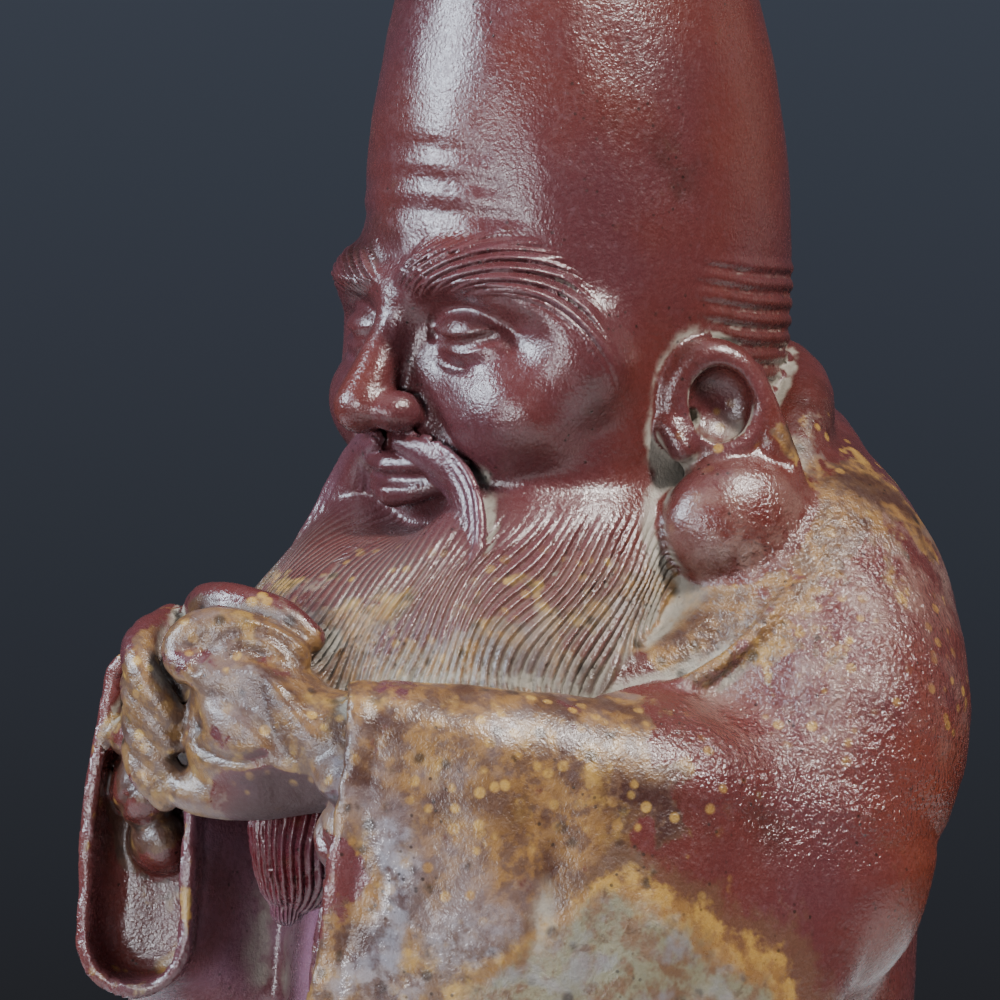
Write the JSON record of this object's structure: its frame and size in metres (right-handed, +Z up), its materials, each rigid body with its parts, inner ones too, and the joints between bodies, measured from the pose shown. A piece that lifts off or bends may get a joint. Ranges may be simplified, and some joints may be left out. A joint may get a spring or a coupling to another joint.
{
  "type": "figurine",
  "caption": "Standing Fukurokuju in wood-fired stoneware: tall bald crown, long ear lobes, full beard, hands clasped before wide hanging sleeves, on a low oval base.",
  "frame": {"origin": "centre of the base's underside", "axes": "+Z up through the crown, -Y the way the figure faces, +X the figure's left side"},
  "size_m": [0.1319, 0.1387, 0.33],
  "materials": {
    "stoneware": "satin, wood-fired, unglazed with natural ash"
  },
  "bodies": {
    "root": {"fukurokuju_figure": "stoneware"}
  },
  "joints": []
}
